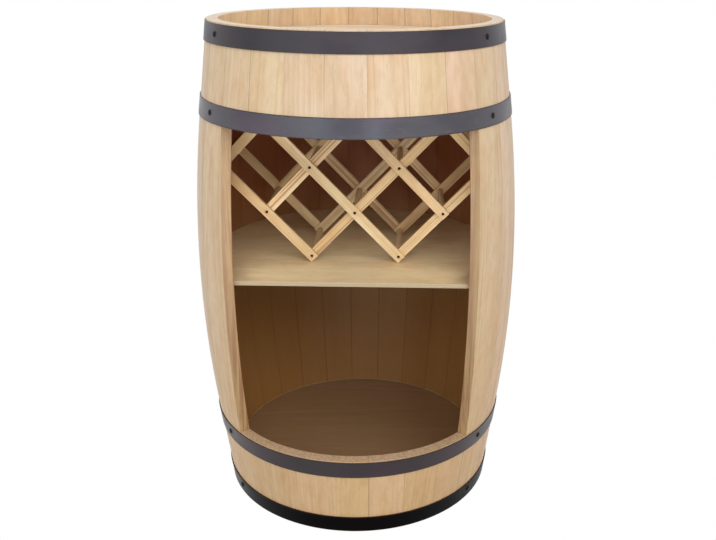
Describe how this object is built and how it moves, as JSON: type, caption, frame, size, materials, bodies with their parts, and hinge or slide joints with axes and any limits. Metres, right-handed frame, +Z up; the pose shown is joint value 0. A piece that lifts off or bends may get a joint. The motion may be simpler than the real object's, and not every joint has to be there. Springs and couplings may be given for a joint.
{
  "type": "barrel bar cabinet",
  "caption": "Upright stave barrel on its end with a tall doorway cut in its front, a shelf, a lattice rack for lying wine bottles, a floor for standing bottles and a strip of lights.",
  "frame": {"origin": "foot of the barrel's axis, in the plane of the bottom stave ends that it stands on", "axes": "+Z up along the barrel's axis, the doorway faces -Y, +X to the right as seen from the front"},
  "size_m": [0.5358, 0.5203, 0.8],
  "materials": {
    "stave_wood": "clear satin varnish",
    "head_wood": "clear satin varnish",
    "hoop_steel": "satin dark grey paint",
    "nail_steel": "satin black",
    "plywood": "sanded plywood",
    "cleat_wood": "sanded",
    "plated_screws": "zinc plated",
    "light_strip": "white tape with clear lights",
    "box_plastic": "fine grained",
    "switch_plastic": "smooth",
    "slat_wood": "sanded",
    "dowel_wood": "sanded",
    "dark_screws": "black oxide"
  },
  "bodies": {
    "barrel": {"battery_box": "box_plastic", "bottom_head": "head_wood", "bottom_hoop": "hoop_steel", "cleat_screws": "plated_screws", "hoop_nails": "nail_steel", "hoop_rivets": "nail_steel", "led_strip": "light_strip", "lower_hoop": "hoop_steel", "lower_short_staves": "stave_wood", "shelf": "plywood", "shelf_cleats": "cleat_wood", "stave_01": "stave_wood", "stave_02": "stave_wood", "stave_03": "stave_wood", "stave_04": "stave_wood", "stave_05": "stave_wood", "stave_06": "stave_wood", "stave_07": "stave_wood", "stave_08": "stave_wood", "stave_09": "stave_wood", "stave_10": "stave_wood", "stave_11": "stave_wood", "stave_12": "stave_wood", "stave_13": "stave_wood", "stave_14": "stave_wood", "stave_15": "stave_wood", "stave_16": "stave_wood", "stave_17": "stave_wood", "stave_18": "stave_wood", "stave_19": "stave_wood", "top_head": "head_wood", "top_hoop": "hoop_steel", "upper_hoop": "hoop_steel", "upper_short_staves": "stave_wood"},
    "rack_falling_1": {"front_falling_slat_1": "slat_wood", "back_falling_slat_1": "slat_wood"},
    "rack_falling_2": {"front_falling_slat_2": "slat_wood", "back_falling_slat_2": "slat_wood"},
    "rack_falling_3": {"front_falling_slat_3": "slat_wood", "back_falling_slat_3": "slat_wood"},
    "rack_falling_4": {"front_falling_slat_4": "slat_wood", "back_falling_slat_4": "slat_wood"},
    "rack_rising_1": {"front_rising_slat_1": "slat_wood", "back_rising_slat_1": "slat_wood", "rack_dowels_1": "dowel_wood", "rack_screws_1": "dark_screws"},
    "rack_rising_2": {"front_rising_slat_2": "slat_wood", "back_rising_slat_2": "slat_wood", "rack_dowels_2": "dowel_wood", "rack_screws_2": "dark_screws"},
    "rack_rising_3": {"front_rising_slat_3": "slat_wood", "back_rising_slat_3": "slat_wood", "rack_dowels_3": "dowel_wood", "rack_screws_3": "dark_screws"},
    "rack_rising_4": {"front_rising_slat_4": "slat_wood", "back_rising_slat_4": "slat_wood", "rack_dowels_4": "dowel_wood", "rack_screws_4": "dark_screws"},
    "battery_cover": {"battery_cover": "box_plastic"},
    "battery_switch": {"battery_switch": "switch_plastic"}
  },
  "joints": [
    {"name": "rack_squeeze", "type": "hinge", "parent": "barrel", "child": "rack_rising_2", "pos_m": [-0.0715, 0.006, 0.42372], "axis": [0, -1, 0], "range_deg": [0, 4.2]},
    {"name": "falling_1_pivot", "type": "hinge", "parent": "rack_rising_2", "child": "rack_falling_1", "pos_m": [-0.0715, 0.006, 0.42372], "axis": [0, -1, 0], "range_deg": [-8.4, 0]},
    {"name": "falling_2_pivot", "type": "hinge", "parent": "rack_rising_2", "child": "rack_falling_2", "pos_m": [0, 0.006, 0.49827], "axis": [0, -1, 0], "range_deg": [-8.4, 0]},
    {"name": "falling_3_pivot", "type": "hinge", "parent": "rack_rising_2", "child": "rack_falling_3", "pos_m": [0.0715, 0.006, 0.57283], "axis": [0, -1, 0], "range_deg": [-8.4, 0]},
    {"name": "falling_4_pivot", "type": "hinge", "parent": "rack_rising_2", "child": "rack_falling_4", "pos_m": [0.143, 0.006, 0.64739], "axis": [0, -1, 0], "range_deg": [-8.4, 0]},
    {"name": "rising_1_pivot", "type": "hinge", "parent": "rack_falling_2", "child": "rack_rising_1", "pos_m": [0.0715, 0.006, 0.42372], "axis": [0, -1, 0], "range_deg": [0, 8.4]},
    {"name": "rising_3_pivot", "type": "hinge", "parent": "rack_falling_2", "child": "rack_rising_3", "pos_m": [-0.0715, 0.006, 0.57283], "axis": [0, -1, 0], "range_deg": [0, 8.4]},
    {"name": "rising_4_pivot", "type": "hinge", "parent": "rack_falling_2", "child": "rack_rising_4", "pos_m": [-0.143, 0.006, 0.64739], "axis": [0, -1, 0], "range_deg": [0, 8.4]},
    {"name": "cover_lift", "type": "slide", "parent": "barrel", "child": "battery_cover", "axis": [0, 0.9914, -0.1305], "range_m": [0, 0.03]},
    {"name": "switch_slide", "type": "slide", "parent": "barrel", "child": "battery_switch", "axis": [-1, 0, 0], "range_m": [0, 0.004]}
  ],
  "couplings": [
    {"joint": "falling_1_pivot", "follows": "rack_squeeze", "ratio": -2},
    {"joint": "falling_2_pivot", "follows": "rack_squeeze", "ratio": -2},
    {"joint": "falling_3_pivot", "follows": "rack_squeeze", "ratio": -2},
    {"joint": "falling_4_pivot", "follows": "rack_squeeze", "ratio": -2},
    {"joint": "rising_1_pivot", "follows": "rack_squeeze", "ratio": 2},
    {"joint": "rising_3_pivot", "follows": "rack_squeeze", "ratio": 2},
    {"joint": "rising_4_pivot", "follows": "rack_squeeze", "ratio": 2}
  ]
}
